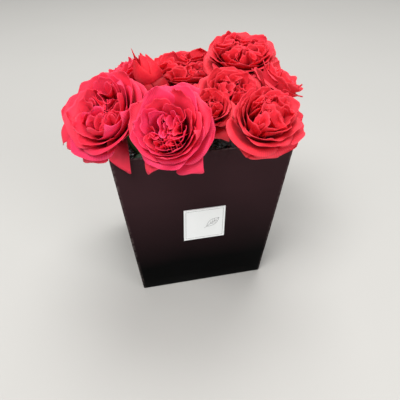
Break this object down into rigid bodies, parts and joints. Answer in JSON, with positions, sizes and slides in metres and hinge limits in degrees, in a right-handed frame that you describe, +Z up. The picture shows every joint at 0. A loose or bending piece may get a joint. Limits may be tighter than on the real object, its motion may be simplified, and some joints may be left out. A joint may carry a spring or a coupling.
{
  "type": "flower box",
  "caption": "Square tapered black box with a wet-foam insert in a film tray, holding long-stemmed red garden roses that pull out one by one.",
  "frame": {"origin": "middle of the box's base, on the surface that the box stands on", "axes": "+Z up; the label is on the face towards -Y; +X is to the right when facing the label"},
  "size_m": [0.2434, 0.2516, 0.2575],
  "materials": {
    "grey_board": "uncoated grey board",
    "brown_tape": "gummed paper tape",
    "black_paper": "satin black covering paper with a fine grain",
    "black_lining": "matte black lining paper",
    "clear_adhesive": "clear adhesive film",
    "white_card": "smooth white card",
    "grey_foil": "thin grey foil line",
    "black_film": "glossy crumpled black film",
    "green_foam": "soaked green phenolic foam, open-celled",
    "green_stem": "waxy green stem",
    "green_sepal": "matte green sepals",
    "pink_red_petals": "velvety pinkish red petals",
    "scarlet_petals": "velvety scarlet petals",
    "bud_petals": "dark red bud petals"
  },
  "bodies": {
    "box": {"front_board": "grey_board", "back_board": "grey_board", "left_board": "grey_board", "right_board": "grey_board", "base_board": "grey_board", "corner_stays": "brown_tape", "outer_wrap": "black_paper", "base_cover": "black_paper", "wall_lining": "black_lining", "base_lining": "black_lining", "label_adhesive": "clear_adhesive", "label_plate": "white_card", "label_foil_line": "grey_foil"},
    "insert": {"film_liner": "black_film", "foam_lower_front": "green_foam", "foam_lower_back": "green_foam", "foam_upper_front": "green_foam", "foam_upper_back": "green_foam"},
    "rose_front_left": {"rose_front_left_stem": "green_stem", "rose_front_left_calyx": "green_sepal", "rose_front_left_bloom": "pink_red_petals"},
    "rose_front": {"rose_front_stem": "green_stem", "rose_front_calyx": "green_sepal", "rose_front_bloom": "pink_red_petals"},
    "rose_front_right": {"rose_front_right_stem": "green_stem", "rose_front_right_calyx": "green_sepal", "rose_front_right_bloom": "scarlet_petals"},
    "rose_centre": {"rose_centre_stem": "green_stem", "rose_centre_calyx": "green_sepal", "rose_centre_bloom": "scarlet_petals"},
    "rose_right": {"rose_right_stem": "green_stem", "rose_right_calyx": "green_sepal", "rose_right_bloom": "scarlet_petals"},
    "rose_inner": {"rose_inner_stem": "green_stem", "rose_inner_calyx": "green_sepal", "rose_inner_bloom": "scarlet_petals"},
    "rose_back_right": {"rose_back_right_stem": "green_stem", "rose_back_right_calyx": "green_sepal", "rose_back_right_bloom": "scarlet_petals"},
    "rose_back": {"rose_back_stem": "green_stem", "rose_back_calyx": "green_sepal", "rose_back_bloom": "scarlet_petals"},
    "rose_back_left": {"rose_back_left_stem": "green_stem", "rose_back_left_calyx": "green_sepal", "rose_back_left_bloom": "pink_red_petals"},
    "rose_middle": {"rose_middle_stem": "green_stem", "rose_middle_calyx": "green_sepal", "rose_middle_bloom": "scarlet_petals"},
    "rosebud": {"rosebud_stem": "green_stem", "rosebud_calyx": "green_sepal", "rosebud_bloom": "bud_petals"}
  },
  "joints": [
    {"name": "insert_lift", "type": "slide", "parent": "box", "child": "insert", "axis": [0, 0, 1], "range_m": [0, 0.18]},
    {"name": "rose_front_left_pull", "type": "slide", "parent": "insert", "child": "rose_front_left", "axis": [-0.3958, -0.2853, 0.8729], "range_m": [0, 0.0686]},
    {"name": "rose_front_pull", "type": "slide", "parent": "insert", "child": "rose_front", "axis": [-0.1103, -0.3961, 0.9116], "range_m": [0, 0.066]},
    {"name": "rose_front_right_pull", "type": "slide", "parent": "insert", "child": "rose_front_right", "axis": [0.2024, -0.3903, 0.8982], "range_m": [0, 0.0669]},
    {"name": "rose_centre_pull", "type": "slide", "parent": "insert", "child": "rose_centre", "axis": [0.1797, -0.1791, 0.9673], "range_m": [0, 0.0628]},
    {"name": "rose_right_pull", "type": "slide", "parent": "insert", "child": "rose_right", "axis": [0.3777, -0.167, 0.9108], "range_m": [0, 0.0661]},
    {"name": "rose_inner_pull", "type": "slide", "parent": "insert", "child": "rose_inner", "axis": [0.0512, -0.3815, 0.9229], "range_m": [0, 0.0653]},
    {"name": "rose_back_right_pull", "type": "slide", "parent": "insert", "child": "rose_back_right", "axis": [0.1414, 0.073, 0.9873], "range_m": [0, 0.0617]},
    {"name": "rose_back_pull", "type": "slide", "parent": "insert", "child": "rose_back", "axis": [0.0355, 0.2002, 0.9791], "range_m": [0, 0.0621]},
    {"name": "rose_back_left_pull", "type": "slide", "parent": "insert", "child": "rose_back_left", "axis": [-0.2365, 0.1913, 0.9526], "range_m": [0, 0.0636]},
    {"name": "rose_middle_pull", "type": "slide", "parent": "insert", "child": "rose_middle", "axis": [0.0026, -0.0198, 0.9998], "range_m": [0, 0.061]},
    {"name": "rosebud_pull", "type": "slide", "parent": "insert", "child": "rosebud", "axis": [-0.1602, 0.0237, 0.9868], "range_m": [0, 0.0617]}
  ]
}
